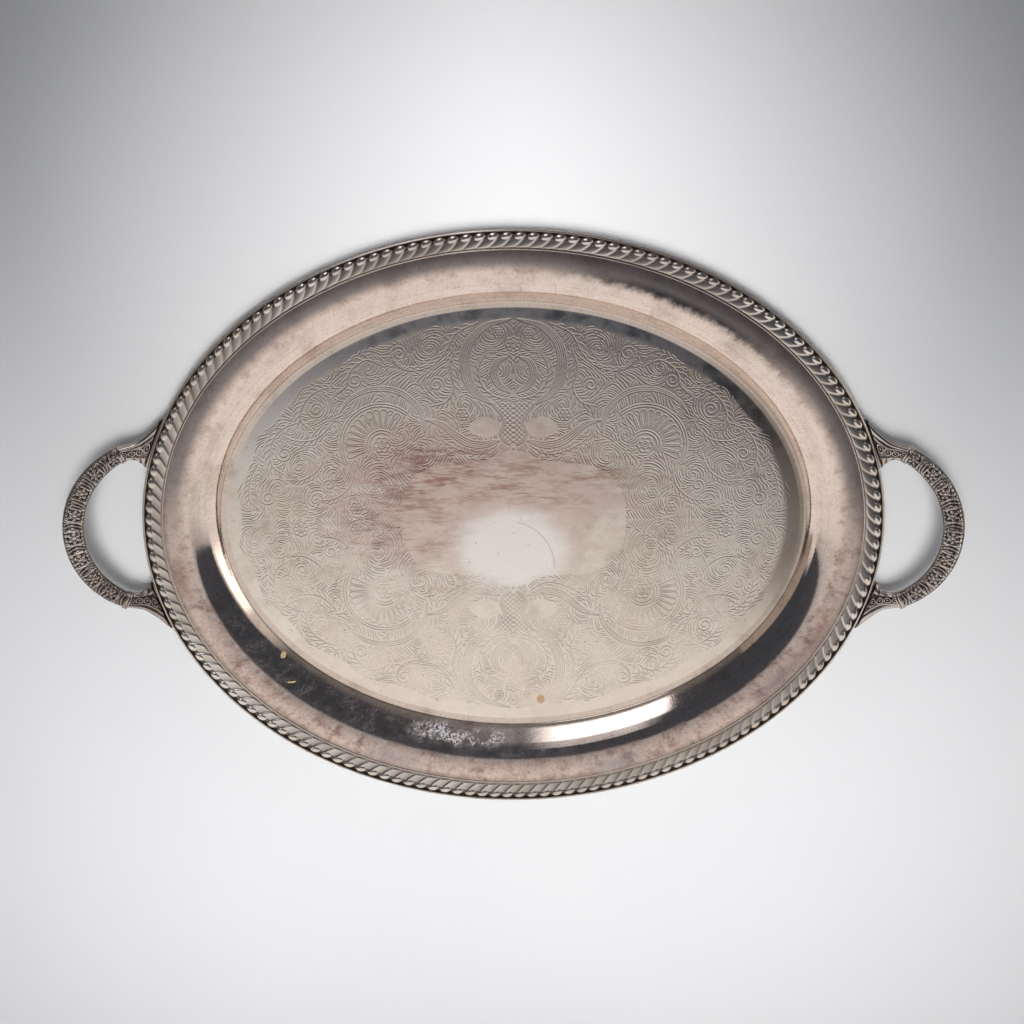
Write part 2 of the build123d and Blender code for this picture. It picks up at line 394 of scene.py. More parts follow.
def draw_outer_scrolls():
    """Scrolls along the outer edge, down to the long axis."""
    plume([(128, 100), (142, 99), (154, 90), (158, 77), (150, 68)], 13, 12.0, 1)
    volute(146, 84, 7.5, 30, -2.0)
    plume([(134, 74), (146, 62), (160, 60), (172, 64)], 10, 9.0, -1)
    plume([(160, 74), (173, 68), (181, 55), (180, 41), (171, 34)], 12, 11.0, 1)
    volute(171, 50, 6.5, 20, -1.8)
    plume([(140, 52), (146, 38), (158, 30), (170, 30)], 10, 8.0, -1)
    plume([(190, 44), (197, 30), (198, 15), (190, 6)], 11, 9.0, 1)
    volute(184, 16, 6.5, 60, -1.8)
    plume([(118, 42), (122, 26), (133, 16), (146, 14)], 10, 9.0, -1)
    volute(138, 26, 5.5, 250, 1.6)
    rosette(160, 8, 6.0, 8)
    rosette(118, 8, 4.5, 6)
    rosette(104, 20, 3.8, 6)


draw_medallion()
draw_upper_plumes()
draw_fan()
draw_outer_scrolls()
draw_ground()


def groove_depth(x, y):
    """Engraved depth, 0 to 1, at points of the well in metres."""
    c, r = np.abs(x) / MM / CELL, np.abs(y) / MM / CELL
    c0 = np.clip(np.floor(c).astype(int), 0, groove.shape[1] - 2)
    r0 = np.clip(np.floor(r).astype(int), 0, groove.shape[0] - 2)
    fc, fr = np.clip(c - c0, 0, 1), np.clip(r - r0, 0, 1)
    top = groove[r0, c0] * (1 - fc) + groove[r0, c0 + 1] * fc
    low = groove[r0 + 1, c0] * (1 - fc) + groove[r0 + 1, c0 + 1] * fc
    return top * (1 - fr) + low * fr


# ---- the pressed sheet ----
GROOVE_DEPTH = 0.20 * MM
SHOULDER = np.array([1.5, 2.0, 3.0, 4.4, 4.9]) * MM  # steps inwards from the crease to the well
SHOULDER_DROP = 0.5 * MM
FAR_MIDDLE = RIM_B * 0.45  # inset from which the far face closes in straight lines on its centre
FAR_MARK = 0.30  # inset value that tells the material it is on the far face


def flange_profile(lift, gauge):
    """Inset and height from rim to well; gauge is 0 on the near face, or the sheet's thickness."""
    big = FLANGE_WIDTH / math.sin(SLOPE) - gauge
    small = FOOT_WIDTH / (math.sin(SLOPE) - math.sin(REST)) + gauge
    a = np.linspace(0, SLOPE, 30)
    inset = np.append(EDGE_WIRE, SEAT_WIDTH + big * np.sin(a))
    height = np.append(lift, lift - big * (1 - np.cos(a)))
    if gauge:
        b = np.linspace(SLOPE, REST, 10)[1:]
        foot = small * (math.sin(SLOPE) - np.sin(b))
        fall = small * (np.cos(b) - math.cos(SLOPE))
    else:
        # straight down to a crisp crease, then gently to the flat of the well
        drop = small * (math.cos(REST) - math.cos(SLOPE))
        run = drop / math.tan(SLOPE)
        foot = np.append(run * np.array([0.3, 0.6, 0.84, 0.92, 0.97, 1.02, 1.07]), run + SHOULDER)
        fall = drop * np.array([0.3, 0.6, 0.84, 0.915, 0.952, 0.972, 0.984])
        fall = np.append(fall, drop + SHOULDER_DROP * SHOULDER / SHOULDER[-1])
    return np.append(inset, inset[-1] + foot), np.append(height, height[-1] - fall)


def pan_row(angle, inset, height):
    """Row of points of the sheet; in the middle of the far face it shrinks to the centre."""
    shrink = 1 - max(inset - FAR_MIDDLE, 0) / (RIM_B * 0.451)
    return oval_row(angle, min(inset, FAR_MIDDLE), height) * np.array([shrink, shrink, 1])


def well_grid(edge):
    """Square grid pressed into the oval of the well: x, y, and 0 in the middle to 1 at the edge."""
    columns, rows = 1260, 940
    u, v = np.meshgrid(np.linspace(-1, 1, columns), np.linspace(-1, 1, rows))
    dx, dy = u * np.sqrt(1 - v * v / 2), v * np.sqrt(1 - u * u / 2)
    radius = np.hypot(dx, dy)
    edge_x, edge_y = oval_point(np.arctan2(dy, dx), edge)
    return edge_x * radius, edge_y * radius, radius


def line_depth(x, y):
    """Depth of the engraving, 0 to 1, nearly rubbed out in patches, above all below the middle."""
    ripples = np.sin(97 * x + 3 * np.sin(71 * y)) + np.sin(113 * y + 2.5 * np.sin(83 * x))
    patchy = smooth(0.5 + 0.35 * ripples)
    return groove_depth(x, y) * (1 - (0.30 + 0.30 * smooth(0.5 - 6 * y)) * (1 - patchy))


def make_pan():
    """The sheet: rings from the middle of its far face over the rim, then the engraved well."""
    angle = oval_angles(RING_COLUMNS)
    inset, height = flange_profile(SEAT, 0)
    far_inset, far_height = flange_profile(SEAT - GAUGE, GAUGE)
    far_flat = RIM_B * np.array([0.3, 0.45, 0.7, 0.9])
    far_inset = np.concatenate([far_inset, [far_inset[-1] + 1.2 * MM], far_flat])
    far_height = np.append(far_height, np.zeros(5))
    all_inset = np.append(far_inset[::-1], inset)
    all_height = np.append(far_height[::-1], height)
    body = np.concatenate([pan_row(angle, s, z) for s, z in zip(all_inset, all_height)])
    faces = grid_quads(len(all_inset), RING_COLUMNS, wrap=True)[:, ::-1]

    x, y, radius = well_grid(inset[-1])
    depth = line_depth(x, y)
    well = np.stack([x, y, height[-1] - GROOVE_DEPTH * depth], -1).reshape(-1, 3)
    faces = np.concatenate([faces, grid_quads(*x.shape, start=len(body))])
    wear = np.append(np.zeros(len(body)), depth)
    pan = make_mesh("tray_pan", np.concatenate([body, well]), faces, wear)

    near_inset = np.repeat(inset, RING_COLUMNS)
    well_inset = inset[-1] + (RIM_B - inset[-1]) * (1 - radius.ravel())
    far_marks = np.full(len(far_inset) * RING_COLUMNS, FAR_MARK)
    add_values(pan.data, "inset", np.concatenate([far_marks, near_inset, well_inset]))
    worked = 1.0 - bare(np.abs(x) / MM, np.abs(y) / MM)
    add_values(pan.data, "worked", np.append(np.zeros(len(body)), worked))
    return pan


# ---- rim: gadroons, their filling and plain wires ----
def border_run(k, columns):
    """Share of the way round the rim, and its angle, along one length of border."""
    share = (k + np.linspace(0, 1, columns)) / BORDER_LENGTHS
    return share, np.interp(share, np.linspace(0, 1, 4001), np.append(oval_angles(4000), 2 * np.pi))


def make_border(k):
    """One struck length: forty comma-shaped lobes whose inner tails all sweep the same way."""
    rows, columns = 40, LOBES // BORDER_LENGTHS * 18 + 1
    share, angle = border_run(k, columns)
    points, wear = [], []
    for rho in np.linspace(0, 1, rows):
        phase = share * LOBES - 0.9 * rho**2
        g = phase - np.floor(phase)
        bulb = np.sqrt(np.clip(1 - ((g - 0.45) / 0.42) ** 2 - ((rho - 0.27) / 0.23) ** 2, 0, 1))
        tail = smooth((g - 0.02) / 0.20) * (1 - g) ** 0.7 * 1.15 * smooth((rho - 0.28) / 0.16)
        ends = smooth(rho / 0.05) * smooth((1 - rho) / 0.08)
        crown = math.sin(math.pi * rho) ** 0.7
        shape = 0.22 * crown + ends * np.maximum(0.80 * bulb, (0.74 - 0.56 * rho) * tail)
        points.append(oval_row(angle, EDGE_WIRE + rho * BORDER_WIDTH, SEAT + BORDER_RISE * shape))
        gap = np.clip(1 - 1.5 * bulb, 0, 1) * (1 - 0.75 * smooth((rho - 0.36) / 0.14))
        inner_gap = 0.25 * smooth((rho - 0.4) / 0.2) * (1 - tail)
        wear.append(gap * np.clip(1.1 - 0.8 * tail, 0, 1) + inner_gap)
    quads = grid_quads(rows, columns)[:, ::-1]
    return make_mesh(f"gadroon_{k + 1}", np.concatenate(points), quads, np.concatenate(wear))


def make_filling(k):
    """Solder inside one border length, seen only if the strip is taken off."""
    rows, columns = 9, 241
    angle = border_run(k, columns)[1]
    points = [
        oval_row(angle, EDGE_WIRE + rho * BORDER_WIDTH, SEAT + 0.55 * MM * math.sin(math.pi * rho))
        for rho in np.linspace(0.06, 0.94, rows)
    ]
    return make_mesh(f"filling_{k + 1}", np.concatenate(points), grid_quads(rows, columns)[:, ::-1])


def make_ring(name, profile, worn):
    """Wire round the rim from a closed profile of inset and height, with a wear value for each."""
    angle = oval_angles(RING_COLUMNS)
    rows = [oval_row(angle, s, z) for s, z in profile + profile[:1]]
    quads = grid_quads(len(rows), RING_COLUMNS, wrap=True)
    return make_mesh(name, np.concatenate(rows), quads, np.repeat(worn + worn[:1], RING_COLUMNS))


def make_edge_ring():
    """Wire outside the gadroons, rounded on its outer side and dirty below."""
    middle, half = (WIRE_LOW + WIRE_HIGH) / 2, (WIRE_HIGH - WIRE_LOW) / 2
    turn = np.linspace(0, np.pi, 14)
    profile = [(EDGE_WIRE - EDGE_WIRE * math.sin(a), middle - half * math.cos(a)) for a in turn]
    return make_ring("edge_ring", profile, [0.9] * 7 + [0.85, 0.75, 0.5, 0.15, 0.0, 0.1, 0.4])


def make_thread_ring():
    """Thin half-round thread between the gadroons and the flange, dirty along both feet."""
    half, turn = THREAD_WIDTH / 2, np.linspace(0, np.pi, 12)
    profile = [(THREAD_START + half - half * math.cos(a), SEAT + THREAD_RISE * math.sin(a)) for a in turn]
    return make_ring("thread_ring", profile, [0.6] + [0.0] * 10 + [0.6])


# ---- handle bars ----
def bar_frame(angle):
    """Centre of the right-hand bar, and its outward direction, at angles from the long axis."""
    along = HANDLE_R / math.cos(HANDLE_TILT) * np.cos(angle)
    centre = np.array([HANDLE_X, 0, HANDLE_Z]) + along[..., None] * OUTWARD
    centre[..., 1] += HANDLE_R * np.sin(angle)
    out = np.cos(angle)[..., None] * OUTWARD + np.sin(angle)[..., None] * np.array([0, 1, 0])
    return centre, out


def beads(a, b, pitch):
    """Round beads in rows that step by half a pitch, 0 between them and 1 on their tops."""
    row = np.round(b / (pitch * 0.87))
    shift = (row % 2) * pitch / 2
    da = a - shift - np.round((a - shift) / pitch) * pitch
    db = b - row * pitch * 0.87
    return dome(np.hypot(da, db) / (pitch * 0.48))


def flower(a, b):
    """Height of a six-petalled flower round an eye, in millimetres."""
    reach, turn = np.hypot(a, b), np.arctan2(b, a)
    petals = 1.3 * smooth((4.3 + 0.6 * np.cos(6 * turn) - reach) / 0.5)
    petals = petals * (0.25 + 0.75 * np.abs(np.cos(3 * turn)) ** 0.8)
    return petals * smooth((reach - 1.5) / 0.4) + 1.7 * dome(reach / 1.6)


def grip_relief(run, side):
    """Height of the cast ornament of a bar in millimetres; run is along it and side across it."""
    period = 17.2
    across = side * 7.2
    part = (run / period) % 1
    middle = (part - 0.25) * period
    rough = 0.10 * np.sin(3.1 * run + 1.7 * across) * np.sin(2.3 * across - 2.1 * run)
    reeds = 1.25 * np.abs(np.sin(np.pi * (run + 0.06 * across**2) / 2.5)) ** 0.8
    reeds = reeds * (0.75 + 0.25 * np.abs(np.cos(np.pi * across / 5.2)))
    beaded = smooth((0.30 - np.abs(part - 0.25)) / 0.02)
    relief = 1.7 * beads(run, across + 0.4, 3.0) * beaded + reeds * (1 - beaded)
    flowered = smooth((4.8 - np.hypot(middle, across)) / 0.4)
    relief = relief * (1 - flowered) + flower(middle, across) * flowered
    to_joint = np.minimum(np.abs(part - 0.95), np.abs(part - 0.55))
    joint = smooth((0.040 - to_joint) / 0.015)
    relief = relief * (1 - joint) + 1.5 * joint
    field = smooth((0.90 - np.abs(side)) / 0.05)
    rim = 0.7 * smooth((0.04 - np.abs(np.abs(side) - 0.96)) / 0.015)
    return (relief + rough) * field + rim


def make_grip(name, front, left):
    """One shell of a bar: ornamented in front, plain behind."""
    rows, columns = (560, 60) if front else (120, 20)
    turn = np.linspace(-COLLAR_ANGLE, COLLAR_ANGLE, rows)
    centre, out = bar_frame(turn)
    swell = np.sin(np.linspace(0, np.pi, rows))
    half = (BAR_END_WIDTH + (BAR_WIDTH - BAR_END_WIDTH) * swell) / 2
    section = np.linspace(0, np.pi, columns) * (1 if front else -1)
    c, s = np.cos(section), np.sin(section)
    wide = np.sign(c) * np.abs(c) ** 0.85
    tall = np.sign(s) * np.abs(s) ** (0.72 if front else 0.9)
    level = 1.3  # height of the relief that keeps the bar's own thickness
    relief = np.full((rows, columns), level)
    if front:
        run = turn[:, None] * HANDLE_R / MM + 8.6
        relief = grip_relief(run, np.broadcast_to(wide, (rows, columns)))
    high = BAR_HALF * tall + (relief - level) * MM * np.abs(s) ** 0.5
    points = centre[:, None] + out[:, None] * (half[:, None] * wide)[..., None] + FACING * high[..., None]
    quads = grid_quads(rows, columns)
    if left:
        points = points * np.array([-1, 1, 1])
    if left != front:
        quads = quads[:, ::-1]
    return make_mesh(name, points, quads, np.clip(0.95 - 0.62 * relief, 0, 1))


# ---- leaf terminals ----
# Edges of the upper right leaf in millimetres, from the collar to where it dips under the rim
OUTER_EDGE = [(292.9, 61.0), (284.0, 62.6), (276.5, 65.0), (269.0, 70.3), (262.5, 76.0), (257.6, 81.2)]
INNER_EDGE = [(286.7, 49.8), (281.0, 50.9), (276.5, 49.9), (273.5, 47.5), (271.0, 44.9), (268.6, 43.6)]
LEAF_AT = math.radians(17)
LEAF_OUT = np.array([RIM_B * math.cos(LEAF_AT), RIM_A * math.sin(LEAF_AT)])
LEAF_OUT /= np.hypot(*LEAF_OUT)
LEAF_RIM = np.array([RIM_A * math.cos(LEAF_AT), RIM_B * math.sin(LEAF_AT)])
LEAF_LAP = 11.0  # how far the leaf reaches under the rim, in millimetres
LAP_ROWS = 16
# Loops down the middle of the leaf: place along it and across it, half length, half width
LOOPS = [
    (0.13, -0.10, 0.07, 0.30), (0.30, -0.12, 0.09, 0.30),
    (0.50, -0.08, 0.10, 0.27), (0.72, -0.02, 0.11, 0.24),
]
# Profile of the collar: place along the bar, height over the bar and wear, lengths in millimetres
COLLAR = [
    (-0.35, -2.0, 0.2), (-0.35, 0.9, 0.2), (0.0, 1.3, 0.0), (0.9, 1.3, 0.0), (1.2, 0.7, 0.6),
    (1.9, 0.7, 0.6), (2.2, 1.3, 0.0), (3.0, 1.2, 0.0), (3.3, -2.0, 0.3),
]


def leaf_plan(along, columns):
    """Leaf seen from above, between two scalloped edges; along passes 1 under the rim."""
    shown = along[along <= 1]
    edges = []
    for edge in (OUTER_EDGE, INNER_EDGE):
        x, y, _, _ = spine(edge)
        pick = np.linspace(0, 1, len(x))
        points = np.stack([np.interp(shown, pick, x), np.interp(shown, pick, y)], -1) * MM
        under = np.linspace(0.7, LEAF_LAP, LAP_ROWS)[:, None] * MM * LEAF_OUT
        edges.append(np.concatenate([points, points[-1] - under]))
    outer, inner = edges
    t = np.clip(along, 0, 1)
    frill_in = 1.1 * MM * np.abs(np.sin(np.pi * 3.2 * t)) * smooth((t - 0.35) / 0.3)
    frill_out = 0.5 * MM * np.abs(np.sin(np.pi * 3.0 * t)) * smooth((t - 0.5) / 0.3)
    chord = outer - inner
    chord = chord / np.hypot(chord[:, 0], chord[:, 1])[:, None]
    outer, inner = outer + chord * frill_out[:, None], inner - chord * frill_in[:, None]
    share = np.linspace(0, 1, columns)[None, :, None]
    return inner[:, None] * (1 - share) + outer[:, None] * share


def leaf_relief(along, across):
    """Height of the ornament in millimetres: two ribs, a row of loops and a lobed inner edge."""
    outer_rib = dome((across - 0.70) / 0.24)
    second_rib = 0.8 * dome((across - 0.32 - 0.06 * np.sin(9 * along)) / 0.13)
    relief = np.maximum(outer_rib, second_rib)
    for at, place, long, wide in LOOPS:
        lens = np.hypot((along - at) / long, (across - place) / wide)
        rim = smooth((0.30 - np.abs(lens - 0.85)) / 0.2)
        relief = np.maximum(relief, np.maximum(rim, 0.9 * dome(lens / 0.45)))
    lobes = np.abs(np.sin(np.pi * (4.2 * along + 0.5 * across))) ** 0.5
    return 1.6 * np.maximum(relief, dome((across + 0.72) / 0.26) * lobes)


def collar_points():
    """Moulded oval ring round the end of the bar, row by row."""
    turn = np.linspace(0, 2 * np.pi, 72, endpoint=False)
    centre, out = (values[0] for values in bar_frame(np.array([COLLAR_ANGLE])))
    tangent = np.cross(FACING, out)
    rows = []
    for step, grow, _ in COLLAR:
        wide = (BAR_END_WIDTH / 2 + grow * MM) * np.cos(turn)
        tall = (BAR_HALF + grow * MM * 0.8) * np.sin(turn)
        rows.append(centre + tangent * step * MM + wide[:, None] * out + tall[:, None] * FACING)
    return np.stack(rows)


def make_leaf(name, left, lower):
    """Acanthus terminal: a collar on the end of the bar, and a ribbed leaf that dips under the rim."""
    rows, columns = 190, 130
    along = np.append(np.linspace(0, 1, rows), 1 + np.linspace(0.01, 0.3, LAP_ROWS))
    plan = leaf_plan(along, columns)
    away = ((plan - LEAF_RIM) @ LEAF_OUT) / MM
    top = np.interp(away, [-40, 0.6, 1.6, 6, 12, 18, 26], [-1.2, -1.2, 1.0, 3.2, 5.4, 7.6, 10.4])
    low = np.interp(away, [-40, -12, 0, 6, 12, 18, 26], [-3.6, -3.6, -5.4, -4.2, -1.8, 0.0, 1.6])
    across = np.linspace(-1, 1, columns)[None, :]
    middle, half = (top + low) / 2, (top - low) / 2 * dome(np.abs(across) ** 1.3)
    relief = leaf_relief(along[:, None], across)
    show = smooth((away - 0.8) / 1.5) * smooth((1 - np.abs(across)) / 0.12)
    faces = [middle + half + (relief - 1.2) * show, middle - half]
    points = [np.dstack([plan, SEAT + z * MM]).reshape(-1, 3) for z in faces]
    leaf_wear = np.clip(0.72 - 0.5 * relief, 0, 1) * show + 0.3 * (1 - show)
    back_wear = np.full(leaf_wear.shape, 0.4)

    size = len(along) * columns
    ring = collar_points()
    ring_wear = np.repeat([wear for _, _, wear in COLLAR], ring.shape[1])
    quads = np.concatenate([
        grid_quads(len(along), columns)[:, ::-1],
        grid_quads(len(along), columns, start=size),
        grid_quads(*ring.shape[:2], wrap=True, start=2 * size),
    ])
    side = np.array([-1 if left else 1, -1 if lower else 1, 1])
    points = np.concatenate([*points, ring.reshape(-1, 3)]) * side
    if left != lower:
        quads = quads[:, ::-1]
    return make_mesh(name, points, quads, np.concatenate([leaf_wear.ravel(), back_wear.ravel(), ring_wear]))


# ---- materials ----
class Nodes:
    """Small builder for a node tree."""

    def __init__(self, tree):
        self.tree = tree
        tree.nodes.clear()

    def add(self, kind, inputs=None, **settings):
        node = self.tree.nodes.new(kind)
        for key, value in settings.items():
            setattr(node, key, value)
        for key, value in (inputs or {}).items():
            if isinstance(value, bpy.types.NodeSocket):
                self.tree.links.new(value, node.inputs[key])
            else:
                node.inputs[key].default_value = value
        return node

    def math(self, operation, a, b=0.0, clamp=False):
        return self.add("ShaderNodeMath", {0: a, 1: b}, operation=operation, use_clamp=clamp).outputs[0]

    def times(self, *factors):
        product = factors[0]
        for factor in factors[1:]:
            product = self.math("MULTIPLY", product, factor)
        return product

    def plus(self, a, b):
        return self.math("ADD", a, b)

    def minus(self, a, b):
        return self.math("SUBTRACT", a, b)

    def flip(self, a):
        """1 where a is 0, and 0 where it is 1."""
        return self.math("SUBTRACT", 1.0, a)

    def larger(self, a, b):
        return self.math("MAXIMUM", a, b)

    def length(self, a, b):
        return self.math("SQRT", self.plus(self.times(a, a), self.times(b, b)))

    def noise(self, vector, scale, detail=4.0, rough=0.55):
        inputs = {"Vector": vector, "Scale": scale, "Detail": detail, "Roughness": rough}
        return self.add("ShaderNodeTexNoise", inputs).outputs["Fac"]

    def ramp(self, fac, *stops):
        node = self.add("ShaderNodeValToRGB", {0: fac})
        band = node.color_ramp
        band.elements[0].position, band.elements[0].color = stops[0][0], (*stops[0][1], 1)
        band.elements[1].position, band.elements[1].color = stops[-1][0], (*stops[-1][1], 1)
        for place, colour in stops[1:-1]:
            band.elements.new(place).color = (*colour, 1)
        return node.outputs[0]

    def fade(self, value, low, high):
        """Smooth step from 0 at low to 1 at high."""
        inputs = {0: value, 1: low, 2: high}
        return self.add("ShaderNodeMapRange", inputs, interpolation_type="SMOOTHSTEP").outputs[0]

    def below(self, value, low, high):
        """Smooth step from 1 at low to 0 at high."""
        return self.flip(self.fade(value, low, high))

    def band(self, value, low, high, soft):
        """1 where value lies between low and high, with soft edges."""
        rise = self.fade(value, low - soft, low + soft)
        return self.times(rise, self.below(value, high - soft, high + soft))

    def lerp(self, fac, a, b):
        return self.add("ShaderNodeMix", {0: fac, 2: a, 3: b}, data_type="FLOAT").outputs[0]

    def mix(self, fac, a, b, blend="MIX"):
        inputs = {0: fac, 6: a, 7: b}
        return self.add("ShaderNodeMix", inputs, data_type="RGBA", blend_type=blend).outputs[2]

    def attribute(self, name):
        return self.add("ShaderNodeAttribute", attribute_name=name).outputs["Fac"]

    def split(self, vector):
        return self.add("ShaderNodeSeparateXYZ", {0: vector}).outputs

    def join(self, x, y, z):
        return self.add("ShaderNodeCombineXYZ", {0: x, 1: y, 2: z}).outputs[0]


class Look:
    """Colour, roughness and metallic share of a surface while its layers are laid on."""

    def __init__(self, nodes, colour, roughness):
        self.nodes, self.colour, self.roughness, self.metal = nodes, colour, roughness, 1.0

    def tint(self, amount, target, strength=1.0):
        """Draw the colour towards a target by amount times strength."""
        share = self.nodes.math("MULTIPLY", amount, strength, True)
        self.colour = self.nodes.mix(share, self.colour, (*target, 1))


def new_material(name):
    """Material with an empty node tree, and the builder for it."""
    material = bpy.data.materials.new(name)
    material.use_nodes = True
    return material, Nodes(material.node_tree)


def silver(name, clean, tarnish, dark, rough, stain=1.0, worn_rough=0.15, zones=None):
    """Worn silver plate: clean metal, warm tarnish in clouds, dark patina in the hollows."""
    material, n = new_material(name)
    place = n.add("ShaderNodeTexCoord").outputs["Object"]
    clouds, specks = n.noise(place, 14.0, 5.0, 0.6), n.noise(place, 120.0, 4.0, 0.6)
    amount = n.fade(n.plus(n.times(clouds, 0.8), n.times(specks, 0.2)), 0.36, 0.64)
    colour = n.mix(amount, (*clean, 1), (*tarnish, 1))
    look = Look(n, colour, n.plus(n.times(amount, 0.12), rough))
    if zones:
        zones(n, place, look)
    wear = n.attribute("wear")
    look.tint(wear, dark, stain)
    roughness = n.plus(look.roughness, n.times(wear, worn_rough))
    brushed = n.noise(place, 900.0, 2.0)
    bump = n.add("ShaderNodeBump", {"Strength": 0.06, "Distance": 0.0002, "Height": brushed}).outputs[0]
    inputs = {"Base Color": look.colour, "Metallic": look.metal, "Roughness": roughness, "Normal": bump}
    n.add("ShaderNodeOutputMaterial", {0: n.add("ShaderNodeBsdfPrincipled", inputs).outputs[0]})
    return material


# ---- colour zones of the sheet ----
def pan_fields(n, place):
    """Places, noises and masks that the zones of the sheet share; insets and places are in metres."""
    x, y, z = n.split(place)[:3]
    inset = n.attribute("inset")
    around = n.math("ARCTAN2", n.math("DIVIDE", y, RIM_B), n.math("DIVIDE", x, RIM_A))
    ring = n.join(n.math("COSINE", around), n.math("SINE", around), n.times(inset, 4.0))
    streak = n.noise(ring, 26.0, 5.0, 0.7)
    rust = n.noise(n.join(n.times(x, 0.28), y, z), 75.0, 8.0, 0.72)
    flange = n.below(inset, 0.0590, 0.0602)
    return SimpleNamespace(
        x=x, y=y, z=z, place=place, inset=inset, around=around, streak=streak, rust=rust,
        hair=n.noise(ring, 150.0, 6.0, 0.75),
        cloud=n.noise(place, 42.0, 6.0, 0.7),
        rag=n.times(n.minus(n.noise(place, 16.0, 6.0, 0.65), 0.5), 1.5),
        edge=n.plus(inset, n.times(n.minus(streak, 0.5), 0.012)),
        flange=flange,
        well=n.flip(flange),
    )


def spot(n, f, x, y, rx, ry, ragged=0.0):
    """1 inside an oval patch of the sheet, with a ragged edge; sizes in metres."""
    dx = n.math("DIVIDE", n.minus(f.x, x), rx)
    dy = n.math("DIVIDE", n.minus(f.y, y), ry)
    return n.below(n.plus(n.length(dx, dy), ragged), 0.7, 1.3)


def flange_base(n, f, look):
    """Polished inner flange, and a matt pink outer band broken up by streaks down the slope."""
    look.tint(f.flange, (0.86, 0.735, 0.665), 0.85)
    outer = n.below(f.edge, 0.0290, 0.0345)
    lower = n.below(f.y, -0.05, 0.03)
    pink = n.ramp(
        f.streak,
        (0.34, (0.42, 0.28, 0.27)),
        (0.44, (0.72, 0.55, 0.48)),
        (0.54, (0.90, 0.74, 0.66)),
        (0.66, (0.66, 0.56, 0.53)),
    )
    look.colour = n.mix(n.times(outer, n.plus(n.times(lower, 0.45), 0.45)), look.colour, pink)
    matt = n.plus(n.times(n.noise(f.place, 260.0, 5.0, 0.7), 0.12), 0.20)
    polished = n.plus(n.times(f.hair, 0.09), 0.02)
    look.roughness = n.lerp(outer, n.lerp(f.flange, matt, polished), 0.36)


def flange_lines(n, f, look):
    """Darker band beside the thread wire, painted shade in the crease, a paler painted shade on the
    shoulder, and two faint lines.
    """
    # darker band just inside the thread wire
    look.tint(n.below(n.plus(f.inset, n.times(f.rag, 0.002)), 0.0150, 0.0195), (0.30, 0.23, 0.20), 0.55)
    # painted shade: a dark line in the crease
    look.tint(n.band(f.inset, 0.0546, 0.0556, 0.0005), (0.30, 0.24, 0.20), 0.6)
    # paler painted shade on the shoulder between the crease and the well
    look.tint(n.band(f.inset, 0.0556, 0.0598, 0.0006), (0.70, 0.60, 0.52), 0.6)
    for at in (0.0402, 0.0446):
        line = n.times(n.band(f.inset, at, at + 0.0005, 0.0003), n.fade(f.streak, 0.42, 0.55))
        look.tint(line, (0.55, 0.43, 0.38), 0.5)


# Dark patches beside the border: place round the rim as an angle, and colour
RIM_PATCHES = [
    (-2.93, (0.30, 0.15, 0.14)), (-0.67, (0.24, 0.22, 0.24)), (-0.55, (0.34, 0.26, 0.25)),
    (-1.25, (0.34, 0.33, 0.36)), (-1.95, (0.42, 0.38, 0.40)), (-0.42, (0.42, 0.25, 0.22)),
]


def flange_dark_reflection(n, f, look):
    """Painted dark reflection in a strip beside the border, darkest at the far right and faint elsewhere;
    dark patches along the border.
    """
    # painted dark reflection, darkest at the far right
    dark_reflection_strip = n.times(n.band(f.edge, 0.0165, 0.0320, 0.0045), n.band(f.around, 0.62, 1.42, 0.32))
    look.tint(dark_reflection_strip, (0.035, 0.035, 0.042))
    # fainter painted dark reflection along the far side
    faint = n.times(n.band(f.inset, 0.0150, 0.0265, 0.0040), n.fade(f.y, -0.03, 0.05))
    look.tint(faint, (0.26, 0.235, 0.235), 0.80)
    for at, tone in RIM_PATCHES:
        patch = n.times(n.band(f.around, at - 0.07, at + 0.07, 0.07), n.band(f.edge, 0.017, 0.025, 0.004))
        look.tint(patch, tone, 0.6)


def mottling(n, f, look):
    """Cloudy tone of the whole sheet, and fine scoring round the flange."""
    look.tint(n.times(n.attribute("worked"), n.fade(f.cloud, 0.35, 0.6)), (0.72, 0.64, 0.55), 0.4)
    stain = n.ramp(
        f.cloud,
        (0.34, (0.70, 0.66, 0.62)),
        (0.46, (0.95, 0.92, 0.90)),
        (0.56, (1.05, 1.02, 1.0)),
        (0.70, (0.92, 0.84, 0.81)),
    )
    look.colour = n.mix(0.75, look.colour, stain, "MULTIPLY")
    scored = n.ramp(
        f.hair,
        (0.34, (0.62, 0.56, 0.54)),
        (0.46, (0.96, 0.93, 0.92)),
        (0.56, (1.0, 1.0, 1.0)),
        (0.70, (0.80, 0.72, 0.69)),
    )
    look.colour = n.mix(n.times(f.flange, 0.8), look.colour, scored, "MULTIPLY")


def well_tone(n, f, look):
    """Well: cool and dull on the far side, brown painted shade along its right edge and warm on the near
    side.
    """
    far = n.times(f.well, n.fade(n.plus(f.y, n.times(f.rag, 0.05)), 0.04, 0.18))
    look.tint(far, (0.56, 0.50, 0.43), 0.45)
    inset = n.plus(f.inset, n.times(f.rag, 0.003))
    margin = n.times(n.band(inset, 0.0600, 0.0680, 0.0018), n.fade(f.y, 0.02, 0.12))
    look.tint(margin, (0.50, 0.51, 0.55), 0.5)
    clouded = n.plus(n.times(n.fade(f.cloud, 0.36, 0.62), 0.14), 0.08)
    look.roughness = n.lerp(margin, look.roughness, clouded)
    # painted shade: a dark brown band along the right edge of the well, from the crease inwards
    right = n.times(n.fade(f.x, 0.12, 0.20), n.fade(f.y, -0.12, -0.02))
    look.tint(n.times(n.band(f.inset, 0.0562, 0.0680, 0.0025), right), (0.20, 0.16, 0.13), 0.75)
    near = n.times(f.well, n.below(n.plus(f.y, n.times(f.rag, 0.08)), -0.14, -0.02))
    look.tint(near, (0.92, 0.79, 0.69), 0.6)


